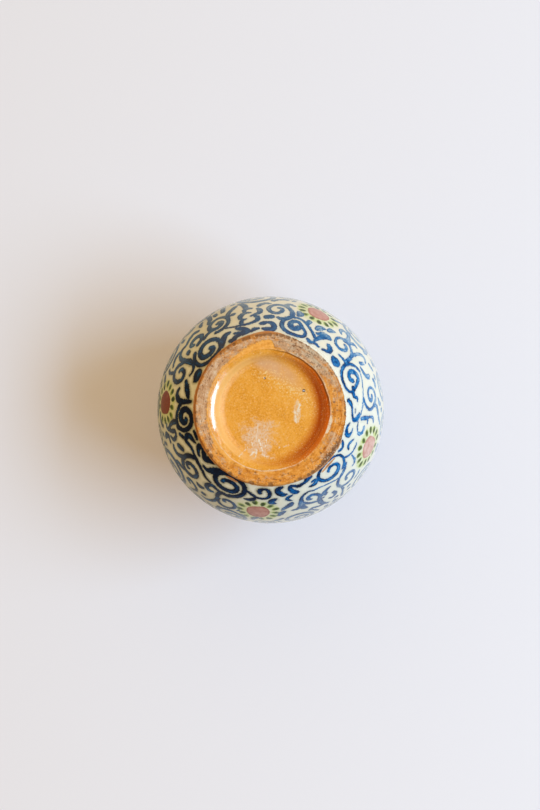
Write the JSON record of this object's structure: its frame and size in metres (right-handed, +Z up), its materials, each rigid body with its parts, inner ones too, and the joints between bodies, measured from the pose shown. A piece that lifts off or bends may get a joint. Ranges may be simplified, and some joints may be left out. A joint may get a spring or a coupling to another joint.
{
  "type": "globe vase",
  "caption": "Ball-shaped earthenware vase with a short rolled-lip neck, a low bare foot ring and painted blue scrollwork on cream glaze, for cut flowers.",
  "frame": {"origin": "centre of the foot ring's standing face", "axes": "+Z up along the axis of turning, from the foot to the mouth; X and Y across the globe"},
  "size_m": [0.16, 0.16, 0.1502],
  "materials": {
    "terracotta": "bare fired earthenware, rough and worn",
    "cream_glaze": "glossy cream glaze with cobalt, green and rose brush painting",
    "amber_glaze": "glossy honey glaze straight on the clay"
  },
  "bodies": {
    "root": {"lower_bowl": "terracotta", "upper_dome": "terracotta", "foot_ring": "terracotta", "neck_collar": "terracotta", "outer_glaze": "cream_glaze", "lining_glaze": "amber_glaze", "base_glaze": "amber_glaze"}
  },
  "joints": []
}
